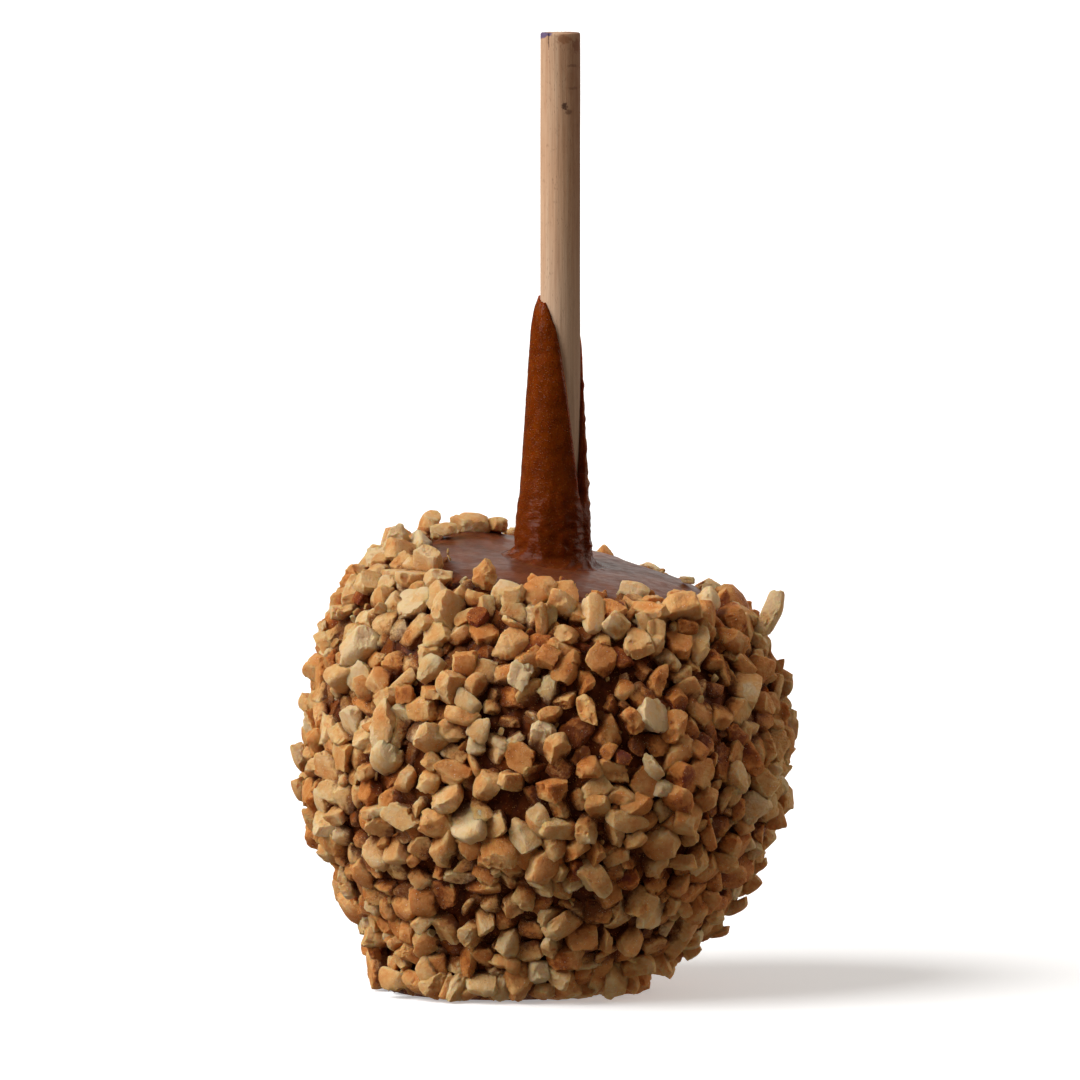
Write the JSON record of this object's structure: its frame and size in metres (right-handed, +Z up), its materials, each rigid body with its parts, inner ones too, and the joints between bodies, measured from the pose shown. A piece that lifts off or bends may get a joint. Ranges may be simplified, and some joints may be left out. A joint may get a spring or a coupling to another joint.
{
  "type": "caramel apple",
  "caption": "Whole fruit dipped in caramel and rolled in chopped peanuts, held on a plain round wooden stick and standing on its flat caramel foot.",
  "frame": {"origin": "bottom centre of the whole object, on the plane it stands on", "axes": "+Z up along the stick, +X to the right and -Y towards the viewer as the object is seen from the front"},
  "size_m": [0.0828, 0.0806, 0.1534],
  "materials": {
    "wood": "bare birch dowel, fine straight grain, unsanded ends",
    "caramel": "dark amber caramel, satin with fine ripples on the crown, glossier and full of small bubbles on the sleeve",
    "peanuts": "chopped roasted blanched peanuts, cream to golden brown, dry matte faces"
  },
  "bodies": {
    "root": {"stick": "wood", "caramel_coat": "caramel", "nut_coating": "peanuts"}
  },
  "joints": []
}
